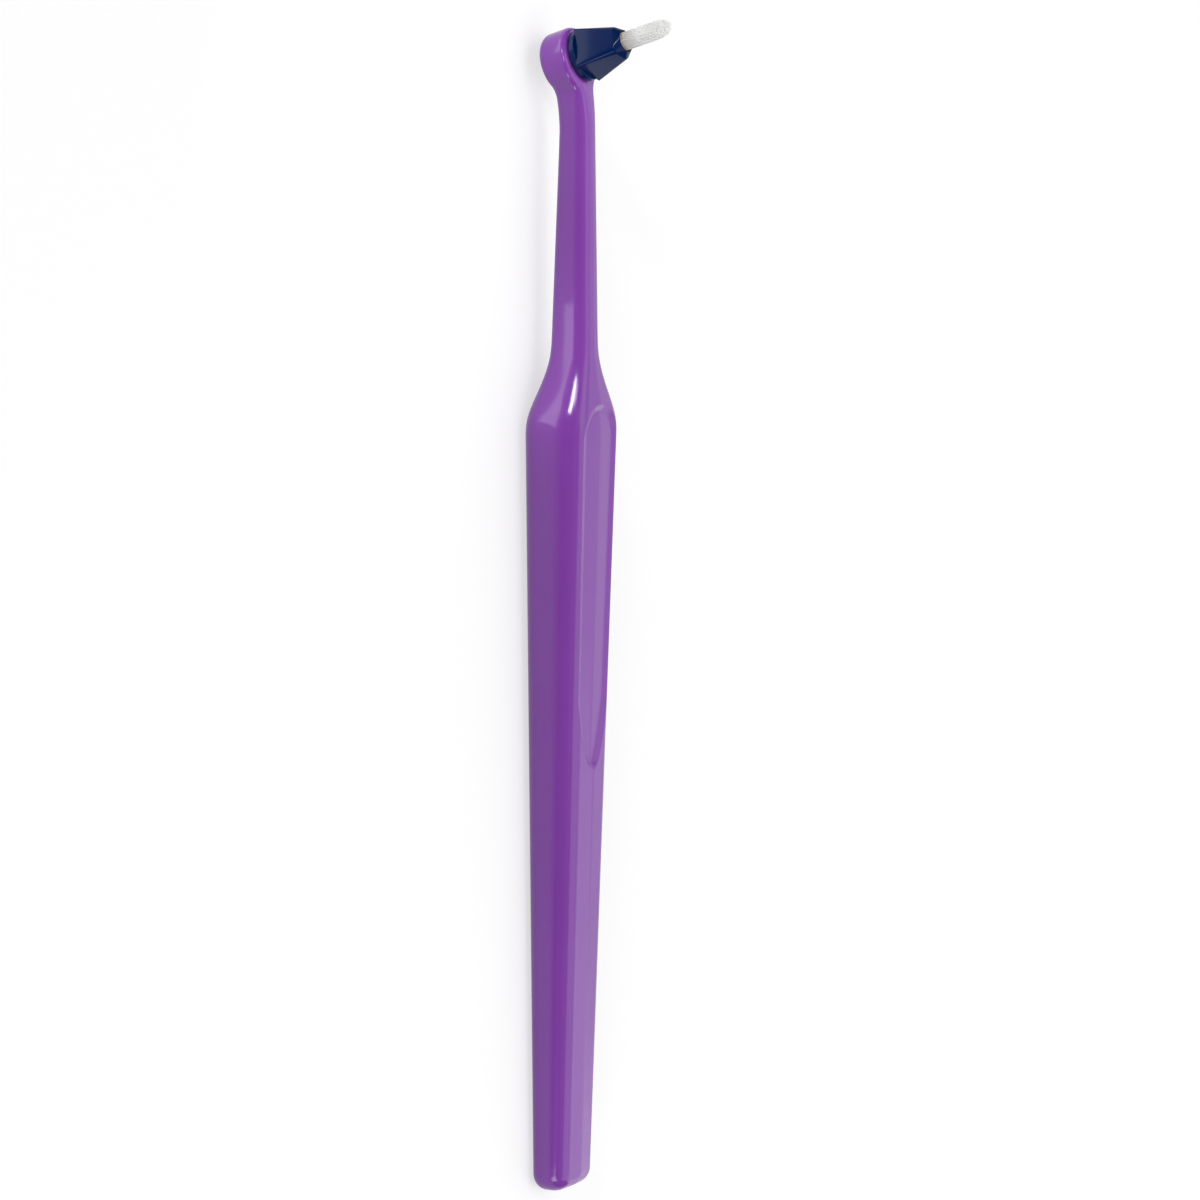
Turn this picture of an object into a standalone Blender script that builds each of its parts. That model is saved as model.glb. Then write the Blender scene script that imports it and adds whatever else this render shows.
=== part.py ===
"""Single tuft toothbrush, lying on the flat back of its grip.

+X points to the head end and +Z is the side that the tuft faces. The origin
is the bottom centre of the box round the whole brush. All sizes are metres.

The brush has four pieces. The handle is one moulding: a tapering grip with a
shallow thumb recess, a shoulder, a thin neck and a ring that leans back. A
faceted head plugs into the ring's bore and pulls out of it along the bore. The
tuft is folded round a small metal anchor that is wedged across the tuft's hole.
"""
import math

import bmesh
import bpy
import numpy as np
from mathutils import Vector

MM = 0.001

# Handle, measured along its middle line from the butt end
GRIP_LENGTH = 111.8 * MM
SHOULDER_LENGTH = 11.6 * MM
NECK_LENGTH = 29.9 * MM
BEND_LENGTH = 10.0 * MM
RING_NECK_LENGTH = 0.2 * MM
HEAD_TILT = math.radians(17.4)
SHOULDER_CURVE = 0.8

# Handle sections: widths across, thicknesses from back to front
BUTT_WIDTH = 9.8 * MM
BUTT_THICKNESS = 5.6 * MM
BUTT_CORNER_RADIUS = 2.6 * MM
GRIP_WIDTH = 13.7 * MM
GRIP_THICKNESS = 10.1 * MM
NECK_ROOT_WIDTH = 5.1 * MM
NECK_ROOT_THICKNESS = 6.2 * MM
NECK_ROOT_HEIGHT = 5.65 * MM
NECK_END_WIDTH = 4.2 * MM
NECK_END_THICKNESS = 4.9 * MM
NECK_END_HEIGHT = 6.25 * MM
RING_RADIUS = 4.5 * MM
RING_THICKNESS = 4.65 * MM
RING_FILLET_RADIUS = 2.4 * MM

# Handle edge roundings, at the butt, the grip's widest place, the neck and the ring
BUTT_BACK_ROUND = 1.9 * MM
BUTT_FRONT_ROUND = 2.1 * MM
GRIP_BACK_ROUND = 3.2 * MM
GRIP_FRONT_ROUND = 3.1 * MM
NECK_ROUND = 1.6 * MM
RING_BACK_ROUND = 1.2 * MM
RING_FRONT_ROUND = 0.8 * MM

# Thumb recess in the front of the grip
RECESS_START = 61.8 * MM
RECESS_LENGTH = 53.0 * MM
RECESS_TOP_HALF_WIDTH = 4.6 * MM
RECESS_LOW_HALF_WIDTH = 3.8 * MM
RECESS_DEPTH = 0.45 * MM
RECESS_WALL_RUN = 2.2 * MM
RECESS_TOP_END_LENGTH = 5.3 * MM
RECESS_LOW_END_LENGTH = 10.0 * MM
RECESS_LOW_END_POWER = 0.45
RECESS_LEAST_FLOOR_SHARE = 0.1

# Socket and the plug of the head
SOCKET_RADIUS = 2.40 * MM
RIB_CLEARANCE = 0.06 * MM
STEM_RIB_HEIGHT = 0.16 * MM
STEM_RIB_LENGTH = 0.8 * MM
STEM_END_SETBACK = 0.3 * MM
STEM_CHAMFER = 0.35 * MM
SEAT_GAP = 0.2 * MM

# Head: a round flange, and a square block that tapers to a round rim
FLANGE_RADIUS = 3.7 * MM
FLANGE_HEIGHT = 0.9 * MM
FLANGE_ROUND = 0.12 * MM
BLOCK_HEIGHT = 6.5 * MM
BLOCK_SINK = 0.2 * MM
BLOCK_BASE_SIDE = 6.1 * MM
BLOCK_TIP_SIDE = 4.1 * MM
BLOCK_BASE_CORNER = 0.3 * MM
BLOCK_TIP_CORNER = 1.0 * MM
BLOCK_RIM_RADIUS = 1.65 * MM
BLOCK_RIM_RISE = 0.9 * MM
HEAD_CLOCKING = math.radians(-22.0)

# Tuft, its hole and its anchor
HOLE_RADIUS = 1.45 * MM
HOLE_DEPTH = 3.6 * MM
TUFT_CLEARANCE = 0.08 * MM
TUFT_LENGTH = 7.6 * MM
TUFT_TRIM_DROP = 2.1 * MM
TUFT_ROOT_THICKNESS = 1.5 * MM
STRAND_PITCH = 0.142 * MM
STRAND_GAP = 0.022 * MM
STRAND_SPREAD_SHARE = 0.02
TRIM_POWER = 4.0
ANCHOR_LENGTH = 3.7 * MM
ANCHOR_THICKNESS = 0.28 * MM
ANCHOR_HEIGHT = 0.75 * MM
ANCHOR_CLEARANCE = 0.1 * MM

# Cutters reach this far past what they cut
OVERRUN = 0.5 * MM

# Points closer than this are one point, and stations closer than this are one station
MERGE_DISTANCE = 0.001 * MM
STATION_GAP = 0.02 * MM
SHARP_ANGLE = math.radians(35.0)

# Counts of points
CORNER_STEPS = 6
ROUND_SEGMENTS = 48
GRIP_STATIONS = 8
SHOULDER_STATIONS = 10
NECK_STATIONS = 6
BEND_STATIONS = 6
FILLET_STATIONS = 8
RING_STATIONS = 14
END_STATIONS = 6
RECESS_STATIONS = 10

# Places along the middle line that follow from the sizes
SHOULDER_END = GRIP_LENGTH + SHOULDER_LENGTH
BEND_START = SHOULDER_END + NECK_LENGTH
BEND_END = BEND_START + BEND_LENGTH
RING_CENTRE = BEND_END + RING_NECK_LENGTH
HANDLE_END = RING_CENTRE + RING_RADIUS
FILLET_REACH = RING_RADIUS + RING_FILLET_RADIUS
FILLET_SIDE = NECK_END_WIDTH / 2 + RING_FILLET_RADIUS
FILLET_START = RING_CENTRE - math.sqrt(FILLET_REACH**2 - FILLET_SIDE**2)


def mix(first, second, share):
    """Return the value that lies a share of the way from first to second."""
    return first + (second - first) * share


def share_between(station, start, end):
    """Return how far a station lies from start to end, held between 0 and 1."""
    return min(max((station - start) / (end - start), 0.0), 1.0)


def ease(share):
    """Return the share bent into an S, flat at both ends."""
    return share * share * (3.0 - 2.0 * share)


def along_handle(station, butt, grip, neck_root, neck_end):
    """Return a size that runs straight along the grip and the neck, with an S between."""
    on_grip = mix(butt, grip, share_between(station, 0.0, GRIP_LENGTH))
    on_neck = mix(neck_root, neck_end, share_between(station, SHOULDER_END, BEND_START))
    on_shoulder = share_between(station, GRIP_LENGTH, SHOULDER_END) ** SHOULDER_CURVE
    return mix(on_grip, on_neck, ease(on_shoulder))


def thickness_at(station):
    """Return the handle's thickness from back to front."""
    before_ring = along_handle(
        station, BUTT_THICKNESS, GRIP_THICKNESS, NECK_ROOT_THICKNESS, NECK_END_THICKNESS
    )
    return mix(before_ring, RING_THICKNESS, ease(share_between(station, BEND_START, BEND_END)))


def middle_height_at(station):
    """Return the middle line's height above the flat back, before the bend."""
    return along_handle(
        station, BUTT_THICKNESS / 2, GRIP_THICKNESS / 2, NECK_ROOT_HEIGHT, NECK_END_HEIGHT
    )


def rounds_at(station):
    """Return the radii of the back edges and of the front edges."""
    to_ring = ease(share_between(station, BEND_START, BEND_END))
    back = along_handle(station, BUTT_BACK_ROUND, GRIP_BACK_ROUND, NECK_ROUND, NECK_ROUND)
    front = along_handle(station, BUTT_FRONT_ROUND, GRIP_FRONT_ROUND, NECK_ROUND, NECK_ROUND)
    return mix(back, RING_BACK_ROUND, to_ring), mix(front, RING_FRONT_ROUND, to_ring)


def middle_point(station):
    """Return x, z and the lean of the middle line, which bends back before the ring."""
    if station <= BEND_START:
        return station, middle_height_at(station), 0.0
    bent = min(station, BEND_END) - BEND_START
    straight = max(station - BEND_END, 0.0)
    bend_radius = BEND_LENGTH / HEAD_TILT
    lean = bent / bend_radius
    x = BEND_START + bend_radius * math.sin(lean) + straight * math.cos(lean)
    z = NECK_END_HEIGHT - bend_radius * (1.0 - math.cos(lean)) - straight * math.sin(lean)
    return x, z, lean


def half_width_at(station, inset):
    """Return half the width of the handle's outline seen from the front.

    The outline is a tapering strip with round corners at the butt, joined to
    the ring's circle by a fillet on each side. It is moved inwards by inset.
    """
    fillet_turn = RING_CENTRE - (RING_CENTRE - FILLET_START) * (RING_RADIUS - inset) / FILLET_REACH
    if station > fillet_turn:
        return math.sqrt(max((RING_RADIUS - inset) ** 2 - (station - RING_CENTRE) ** 2, 0.0))
    if station > FILLET_START:
        return FILLET_SIDE - math.sqrt((RING_FILLET_RADIUS + inset) ** 2 - (station - FILLET_START) ** 2)
    half = along_handle(station, BUTT_WIDTH, GRIP_WIDTH, NECK_ROOT_WIDTH, NECK_END_WIDTH) / 2
    if station < BUTT_CORNER_RADIUS:
        back_from_arc = BUTT_CORNER_RADIUS - station
        rise = math.sqrt(max((BUTT_CORNER_RADIUS - inset) ** 2 - back_from_arc**2, 0.0))
        return half - BUTT_CORNER_RADIUS + rise
    return half - inset


def corner_points(station, half_thickness, radius):
    """Return (half width, height) points round one rounded edge, from side to face."""
    end_distance = min(station, HANDLE_END - station)
    points = []
    for step in range(CORNER_STEPS):
        angle = math.pi / 2 * step / (CORNER_STEPS - 1)
        inset = min(radius * (1.0 - math.cos(angle)), end_distance)
        rise = math.sqrt(max(radius**2 - (radius - inset) ** 2, 0.0))
        points.append((half_width_at(station, inset), half_thickness - radius + rise))
    return points


def handle_section(station):
    """Return the closed ring of points of the handle's section at a station."""
    x, z, lean = middle_point(station)
    half_thickness = thickness_at(station) / 2
    back_round, front_round = rounds_at(station)
    front = corner_points(station, half_thickness, front_round)
    back = corner_points(station, half_thickness, back_round)
    outline = [(y, height) for y, height in front]
    outline += [(-y, height) for y, height in reversed(front)]
    outline += [(-y, -height) for y, height in back]
    outline += [(y, -height) for y, height in reversed(back)]
    up = Vector((math.sin(lean), 0.0, math.cos(lean)))
    middle = Vector((x, 0.0, z))
    return [middle + up * height + Vector((0.0, y, 0.0)) for y, height in outline]


def end_spaced(start, end, count):
    """Return stations from start to end that crowd towards the end, as on an arc."""
    return [start + (end - start) * math.sin(math.pi / 2 * k / count) for k in range(count + 1)]


def handle_stations():
    """Return the stations of the handle's sections, close together where it turns."""
    butt_arc = [BUTT_CORNER_RADIUS - s for s in end_spaced(0.0, BUTT_CORNER_RADIUS, END_STATIONS)]
    runs = [
        sorted(butt_arc),
        list(np.linspace(BUTT_CORNER_RADIUS, GRIP_LENGTH, GRIP_STATIONS)),
        list(np.linspace(GRIP_LENGTH, SHOULDER_END, SHOULDER_STATIONS)),
        list(np.linspace(SHOULDER_END, BEND_START, NECK_STATIONS)),
        list(np.linspace(BEND_START, FILLET_START, 2)),
        list(np.linspace(FILLET_START, RING_CENTRE, FILLET_STATIONS)),
        end_spaced(RING_CENTRE, HANDLE_END, RING_STATIONS),
    ]
    runs.append(list(np.linspace(BEND_START, BEND_END, BEND_STATIONS)))
    stations = sorted(float(s) for run in runs for s in run)
    kept = [stations[0]]
    for station in stations[1:]:
        if station - kept[-1] > STATION_GAP:
            kept.append(station)
    kept[-1] = HANDLE_END
    return kept


def loft(name, rings):
    """Join rings of points, all of one count, into a closed body with capped ends."""
    mesh = bpy.data.meshes.new(name)
    body = bmesh.new()
    rows = [[body.verts.new(point) for point in ring] for ring in rings]
    count = len(rows[0])
    for low, high in zip(rows, rows[1:]):
        for k in range(count):
            after = (k + 1) % count
            body.faces.new((low[k], low[after], high[after], high[k]))
    body.faces.new(reversed(rows[0]))
    body.faces.new(rows[-1])
    bmesh.ops.remove_doubles(body, verts=body.verts, dist=MERGE_DISTANCE)
    bmesh.ops.dissolve_degenerate(body, edges=body.edges, dist=MERGE_DISTANCE)
    bmesh.ops.recalc_face_normals(body, faces=body.faces)
    body.to_mesh(mesh)
    body.free()
    return bpy.data.objects.new(name, mesh)


def turned(name, profile):
    """Turn a profile of (radius, height) points, top to bottom, round the local Z axis."""
    mesh = bpy.data.meshes.new(name)
    points = [(radius, 0.0, height) for radius, height in profile]
    mesh.from_pydata(points, [(k, k + 1) for k in range(len(points) - 1)], [])
    piece = bpy.data.objects.new(name, mesh)
    screw = piece.modifiers.new("Turn", "SCREW")
    screw.steps = ROUND_SEGMENTS
    screw.render_steps = ROUND_SEGMENTS
    screw.use_merge_vertices = True
    screw.merge_threshold = MERGE_DISTANCE
    screw.use_smooth_shade = True
    return piece


def rod(name, radius, low, high):
    """Return a plain round rod on the local Z axis, as a cutter."""
    return turned(name, [(0.0, high), (radius, high), (radius, low), (0.0, low)])


def box(name, size, centre):
    """Return a box with its size in its mesh, as a cutter or a plate."""
    mesh = bpy.data.meshes.new(name)
    body = bmesh.new()
    bmesh.ops.create_cube(body, size=1.0)
    bmesh.ops.scale(body, vec=size, verts=body.verts)
    bmesh.ops.translate(body, vec=centre, verts=body.verts)
    body.to_mesh(mesh)
    body.free()
    return bpy.data.objects.new(name, mesh)


def material(name, colour, roughness, metallic=0.0):
    """Make a Principled material with a linear colour."""
    made = bpy.data.materials.new(name)
    made.use_nodes = True
    shader = made.node_tree.nodes["Principled BSDF"]
    shader.inputs["Base Color"].default_value = (*colour, 1.0)
    shader.inputs["Roughness"].default_value = roughness
    shader.inputs["Metallic"].default_value = metallic
    made.diffuse_color = (*colour, 1.0)
    return made


def combine(piece, other, operation):
    """Add an exact Boolean modifier that joins or cuts a piece with another object."""
    boolean = piece.modifiers.new(other.name, "BOOLEAN")
    boolean.operation = operation
    boolean.solver = "EXACT"
    boolean.object = other


def as_cutter(cutter, collection, parent=None):
    """Link an object as a hidden guide that other pieces are cut with or joined to."""
    collection.objects.link(cutter)
    cutter.parent = parent
    cutter.hide_render = True
    cutter.display_type = "WIRE"
    return cutter


def recess_half_width(share):
    """Return half the recess's width: pointed at its low end, a half ellipse at its top."""
    full = mix(RECESS_LOW_HALF_WIDTH, RECESS_TOP_HALF_WIDTH, share)
    from_low = min(share * RECESS_LENGTH / RECESS_LOW_END_LENGTH, 1.0)
    from_top = min((1.0 - share) * RECESS_LENGTH / RECESS_TOP_END_LENGTH, 1.0)
    top_end = math.sqrt(1.0 - (1.0 - from_top) ** 2)
    return full * from_low**RECESS_LOW_END_POWER * top_end


def recess_shares():
    """Return the shares of the recess's length that its sections stand at."""
    low_end = RECESS_LOW_END_LENGTH / RECESS_LENGTH
    top_end = RECESS_TOP_END_LENGTH / RECESS_LENGTH
    steps = np.linspace(0.0, 1.0, RECESS_STATIONS)
    in_low_end = low_end * steps**2
    between = np.linspace(low_end, 1.0 - top_end, RECESS_STATIONS)
    in_top_end = 1.0 - top_end + top_end * np.sin(math.pi / 2 * steps)
    return [float(share) for share in np.concatenate([in_low_end, between[1:-1], in_top_end])]


def recess_cutter():
    """Return the dish that is cut into the grip's front: a flat floor and sloping walls."""
    rings = []
    for share in recess_shares():
        station = RECESS_START + RECESS_LENGTH * share
        half = recess_half_width(share)
        floor_half = max(half - RECESS_WALL_RUN, half * RECESS_LEAST_FLOOR_SHARE)
        depth = RECESS_DEPTH * min((half - floor_half) / RECESS_WALL_RUN, 1.0)
        front = middle_height_at(station) + thickness_at(station) / 2
        outline = [
            (floor_half, front - depth),
            (half, front),
            (half, front + OVERRUN),
            (-half, front + OVERRUN),
            (-half, front),
            (-floor_half, front - depth),
        ]
        rings.append([Vector((station, y, z)) for y, z in outline])
    return loft("recess_cutter", rings)


def make_handle(pieces, cutters, head_frame, purple):
    """Make the handle: one loft, cut by the thumb recess and by the ring's bore."""
    handle = loft("handle", [handle_section(station) for station in handle_stations()])
    pieces.objects.link(handle)
    handle.data.materials.append(purple)
    handle.data.shade_smooth()
    handle.data.set_sharp_from_angle(angle=SHARP_ANGLE)
    combine(handle, as_cutter(recess_cutter(), cutters), "DIFFERENCE")
    bore_half = RING_THICKNESS / 2 + OVERRUN
    bore = rod("socket_cutter", SOCKET_RADIUS, -bore_half, bore_half)
    combine(handle, as_cutter(bore, cutters, head_frame), "DIFFERENCE")
    return handle


def stem_and_flange_profile(seat, stem_end):
    """Return the turned outline of the head's plug and flange, top to bottom."""
    rib_radius = SOCKET_RADIUS - RIB_CLEARANCE
    stem_radius = rib_radius - STEM_RIB_HEIGHT
    flange_top = seat + FLANGE_HEIGHT
    bare_length = (seat - stem_end - STEM_CHAMFER - 2 * STEM_RIB_LENGTH) / 3
    profile = [
        (0.0, flange_top),
        (FLANGE_RADIUS - FLANGE_ROUND, flange_top),
        (FLANGE_RADIUS, flange_top - FLANGE_ROUND),
        (FLANGE_RADIUS, seat + FLANGE_ROUND),
        (FLANGE_RADIUS - FLANGE_ROUND, seat),
        (stem_radius, seat),
    ]
    height = seat
    for _ in range(2):
        height -= bare_length
        profile.append((stem_radius, height))
        profile.append((rib_radius, height - STEM_RIB_HEIGHT))
        height -= STEM_RIB_LENGTH
        profile.append((rib_radius, height + STEM_RIB_HEIGHT))
        profile.append((stem_radius, height))
    profile.append((stem_radius, stem_end + STEM_CHAMFER))
    profile.append((stem_radius - STEM_CHAMFER, stem_end))
    profile.append((0.0, stem_end))
    return profile


def rounded_square(side, corner, height):
    """Return a ring of points round a square with rounded corners."""
    reach = side / 2 - corner
    ring = []
    for quarter in range(4):
        turn = math.pi / 2 * quarter
        centre_x = reach * (math.cos(turn) - math.sin(turn))
        centre_y = reach * (math.sin(turn) + math.cos(turn))
        for step in range(CORNER_STEPS + 2):
            angle = turn + math.pi / 2 * step / (CORNER_STEPS + 1)
            x = centre_x + corner * math.cos(angle)
            y = centre_y + corner * math.sin(angle)
            ring.append(Vector((x, y, height)))
    return ring


def block_rings(low, high):
    """Return the rings of the head's block, from its square base to its round rim."""
    return [
        rounded_square(BLOCK_BASE_SIDE, BLOCK_BASE_CORNER, low),
        rounded_square(BLOCK_TIP_SIDE, BLOCK_TIP_CORNER, high - BLOCK_RIM_RISE),
        rounded_square(2 * BLOCK_RIM_RADIUS, BLOCK_RIM_RADIUS, high),
    ]


def make_head(pieces, cutters, head_frame, navy, seat, tip):
    """Make the faceted head: plug and flange turned, block lofted, hole and slot cut."""
    stem_end = STEM_END_SETBACK - RING_THICKNESS / 2
    head = turned("brush_head", stem_and_flange_profile(seat, stem_end))
    pieces.objects.link(head)
    head.parent = head_frame
    head.rotation_euler.z = HEAD_CLOCKING
    head.data.materials.append(navy)
    block = loft("block_guide", block_rings(seat + FLANGE_HEIGHT - BLOCK_SINK, tip))
    combine(head, as_cutter(block, cutters, head), "UNION")
    hole_floor = tip - HOLE_DEPTH
    hole = rod("tuft_hole_cutter", HOLE_RADIUS, hole_floor, tip + OVERRUN)
    combine(head, as_cutter(hole, cutters, head), "DIFFERENCE")
    slot_size = (
        ANCHOR_LENGTH + 2 * ANCHOR_CLEARANCE,
        ANCHOR_THICKNESS + 2 * ANCHOR_CLEARANCE,
        ANCHOR_HEIGHT + 2 * ANCHOR_CLEARANCE,
    )
    slot = box("anchor_slot_cutter", slot_size, (0.0, 0.0, anchor_height(hole_floor)))
    combine(head, as_cutter(slot, cutters, head), "DIFFERENCE")
    return head


def anchor_height(hole_floor):
    """Return the height of the anchor's middle, half way up the tuft's folded root."""
    return hole_floor + TUFT_CLEARANCE + TUFT_ROOT_THICKNESS / 2


def make_anchor(pieces, head, steel, hole_floor):
    """Make the flat metal anchor that holds the folded tuft across its hole."""
    size = (ANCHOR_LENGTH, ANCHOR_THICKNESS, ANCHOR_HEIGHT)
    anchor = box("tuft_anchor", size, (0.0, 0.0, anchor_height(hole_floor)))
    pieces.objects.link(anchor)
    anchor.parent = head
    anchor.data.materials.append(steel)
    return anchor


def strand_length(radius_share):
    """Return a strand's length above the root: full at the middle, cut down outside."""
    full = HOLE_DEPTH - TUFT_CLEARANCE - TUFT_ROOT_THICKNESS + TUFT_LENGTH
    return full - TUFT_TRIM_DROP * radius_share**TRIM_POWER


def root_top(body, radius, height):
    """Lay the root's top as a lattice of small triangles and return those that rise."""
    row_step = STRAND_PITCH * math.sqrt(3.0) / 2
    reach = int(radius / row_step) + 1
    lattice = {}

    def vertex(column, row):
        if (column, row) not in lattice:
            x = STRAND_PITCH * (column + row / 2)
            lattice[column, row] = body.verts.new((x, row_step * row, height))
        return lattice[column, row]

    def inside(column, row):
        return math.hypot(STRAND_PITCH * (column + row / 2), row_step * row) <= radius

    rising = []
    for row in range(-reach, reach):
        for column in range(-2 * reach, 2 * reach):
            corners = [(column, row), (column + 1, row), (column, row + 1)]
            partner = [(column + 1, row), (column + 1, row + 1), (column, row + 1)]
            for number, triangle in enumerate((corners, partner)):
                if all(inside(*corner) for corner in triangle):
                    face = body.faces.new([vertex(*corner) for corner in triangle])
                    if number == 0:
                        rising.append(face)
    return rising


def make_tuft(pieces, cutters, head, nylon, hole_floor):
    """Make the tuft: three-sided strands raised from the top of their folded root.

    The root's top is a lattice of triangles. Every second one is inset, so
    that no two strands touch, and extruded to its own length. Each strand
    leans outwards in proportion to its distance from the middle, so that
    none cross. The root's rim is the lattice's edge, extruded down.
    """
    radius = HOLE_RADIUS - TUFT_CLEARANCE
    low = hole_floor + TUFT_CLEARANCE
    high = low + TUFT_ROOT_THICKNESS
    body = bmesh.new()
    rising = root_top(body, radius, high)
    bmesh.ops.recalc_face_normals(body, faces=body.faces)
    top_faces = list(body.faces)
    if top_faces[0].normal.z < 0.0:
        bmesh.ops.reverse_faces(body, faces=top_faces)
    rim = [edge for edge in body.edges if edge.is_boundary]
    down = bmesh.ops.extrude_edge_only(body, edges=rim)
    low_verts = [item for item in down["geom"] if isinstance(item, bmesh.types.BMVert)]
    for vert in low_verts:
        vert.co.z = low
    low_edges = [
        item for item in down["geom"] if isinstance(item, bmesh.types.BMEdge) and item.is_boundary
    ]
    bmesh.ops.contextual_create(body, geom=low_edges)
    bmesh.ops.inset_individual(body, faces=rising, thickness=STRAND_GAP, use_even_offset=True)
    for face in rising:
        centre = face.calc_center_median()
        share = centre.to_2d().length / radius
        length = strand_length(share)
        top = bmesh.ops.extrude_discrete_faces(body, faces=[face])["faces"][0]
        lean = centre.to_2d() * STRAND_SPREAD_SHARE
        bmesh.ops.translate(body, vec=(lean.x, lean.y, length), verts=top.verts)
    bmesh.ops.recalc_face_normals(body, faces=body.faces)
    mesh = bpy.data.meshes.new("bristle_tuft")
    body.to_mesh(mesh)
    body.free()
    tuft = bpy.data.objects.new("bristle_tuft", mesh)
    pieces.objects.link(tuft)
    tuft.parent = head
    tuft.data.materials.append(nylon)
    tunnel_size = (
        2 * HOLE_RADIUS,
        ANCHOR_THICKNESS + 2 * ANCHOR_CLEARANCE,
        ANCHOR_HEIGHT + 2 * ANCHOR_CLEARANCE,
    )
    tunnel = box("root_tunnel_cutter", tunnel_size, (0.0, 0.0, anchor_height(hole_floor)))
    combine(tuft, as_cutter(tunnel, cutters, head), "DIFFERENCE")
    print("strands in the tuft:", len(rising))
    return tuft


def reach_of_tuft(tip):
    """Return how far the tuft reaches along X past the ring's centre."""
    steps = [k / ROUND_SEGMENTS for k in range(ROUND_SEGMENTS + 1)]
    radius = (HOLE_RADIUS - TUFT_CLEARANCE) * (1.0 + STRAND_SPREAD_SHARE)
    return max(
        (tip + TUFT_LENGTH - TUFT_TRIM_DROP * share**TRIM_POWER) * math.sin(HEAD_TILT)
        + radius * share * math.cos(HEAD_TILT)
        for share in steps
    )


def build():
    """Build the whole brush in its own collection."""
    for existing in list(bpy.data.objects):
        bpy.data.objects.remove(existing)
    pieces = bpy.data.collections.new("single_tuft_toothbrush")
    cutters = bpy.data.collections.new("cutters")
    bpy.context.scene.collection.children.link(pieces)
    bpy.context.scene.collection.children.link(cutters)

    purple = material("handle_purple", (0.33, 0.15, 0.46), 0.25)
    navy = material("head_navy", (0.004, 0.022, 0.085), 0.3)
    steel = material("anchor_steel", (0.6, 0.6, 0.58), 0.35, 1.0)
    nylon = material("tuft_nylon", (0.76, 0.76, 0.74), 0.5)

    ring_x, ring_z, lean = middle_point(RING_CENTRE)
    seat = RING_THICKNESS / 2 + SEAT_GAP
    tip = seat + FLANGE_HEIGHT + BLOCK_HEIGHT
    hole_floor = tip - HOLE_DEPTH
    ring_top = middle_point(HANDLE_END)[0]
    head_end = max(ring_x + reach_of_tuft(tip), ring_top)
    shift = -head_end / 2

    brush = bpy.data.objects.new("brush_frame", None)
    pieces.objects.link(brush)
    brush.location.x = shift
    head_frame = bpy.data.objects.new("head_frame", None)
    pieces.objects.link(head_frame)
    head_frame.parent = brush
    head_frame.location = (ring_x, 0.0, ring_z)
    head_frame.rotation_euler.y = lean

    handle = make_handle(pieces, cutters, head_frame, purple)
    handle.parent = brush
    for cutter in cutters.objects:
        if cutter.parent is None:
            cutter.parent = brush
    head = make_head(pieces, cutters, head_frame, navy, seat, tip)
    make_anchor(pieces, head, steel, hole_floor)
    make_tuft(pieces, cutters, head, nylon, hole_floor)

    bpy.context.view_layer.update()
    axis = head_frame.matrix_world.to_3x3() @ Vector((0.0, 0.0, 1.0))
    print("ring centre:", [round(value, 6) for value in head_frame.matrix_world.translation])
    print("head axis:", [round(value, 6) for value in axis])
    print("length:", round(head_end, 6), "shift:", round(shift, 6))


build()
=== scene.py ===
# %% [markdown]
# # A single tuft toothbrush
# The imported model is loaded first. Its solids are plain on purpose: they give
# each piece its place and its size. This lesson gives every piece the form and
# finish that the eye expects, and leaves the sizes as they are.

import math

import bmesh
import bpy
import numpy as np
from mathutils import Matrix, Vector


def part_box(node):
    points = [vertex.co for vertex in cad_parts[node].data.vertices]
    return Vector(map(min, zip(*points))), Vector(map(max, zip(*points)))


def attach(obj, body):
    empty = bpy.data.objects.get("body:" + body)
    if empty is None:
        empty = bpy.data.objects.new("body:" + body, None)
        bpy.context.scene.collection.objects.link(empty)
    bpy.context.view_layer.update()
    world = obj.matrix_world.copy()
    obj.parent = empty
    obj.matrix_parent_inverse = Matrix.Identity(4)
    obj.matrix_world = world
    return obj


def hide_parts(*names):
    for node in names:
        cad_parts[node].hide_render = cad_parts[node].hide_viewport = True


MM = 0.001

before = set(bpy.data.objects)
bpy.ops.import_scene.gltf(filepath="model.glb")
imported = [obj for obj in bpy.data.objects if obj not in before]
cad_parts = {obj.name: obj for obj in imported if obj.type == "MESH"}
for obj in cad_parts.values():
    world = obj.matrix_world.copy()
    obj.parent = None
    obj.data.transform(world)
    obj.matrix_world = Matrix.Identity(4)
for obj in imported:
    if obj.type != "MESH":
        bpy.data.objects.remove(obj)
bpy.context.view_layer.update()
handle_low, handle_high = (np.array(corner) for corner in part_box("handle"))
print("nodes:", sorted(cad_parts))
print("handle length in mm:", round(float(handle_high[0] - handle_low[0]) / MM, 2))

# %% [markdown]
# ## The camera
# The brush was photographed from its left side, thirty degrees above the
# surface it lies on, with the frame turned so that the head is at the top. A
# long lens keeps the outline almost free of perspective. The camera comes
# first, so that each later step can be looked at from the right place.

# %% Place the camera
CAMERA_SIDE = math.radians(60.0)
CAMERA_FORWARD = math.radians(7.3)
CAMERA_ROLL = 0.00433
CAMERA_PLACE = (0.10558, 0.70086, 0.41421)
PHOTO_PIXELS = 1200.0
FOCAL_PIXELS = 5700.0
SENSOR_WIDTH = 36.0
NEAREST_SEEN = 0.05

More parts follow.
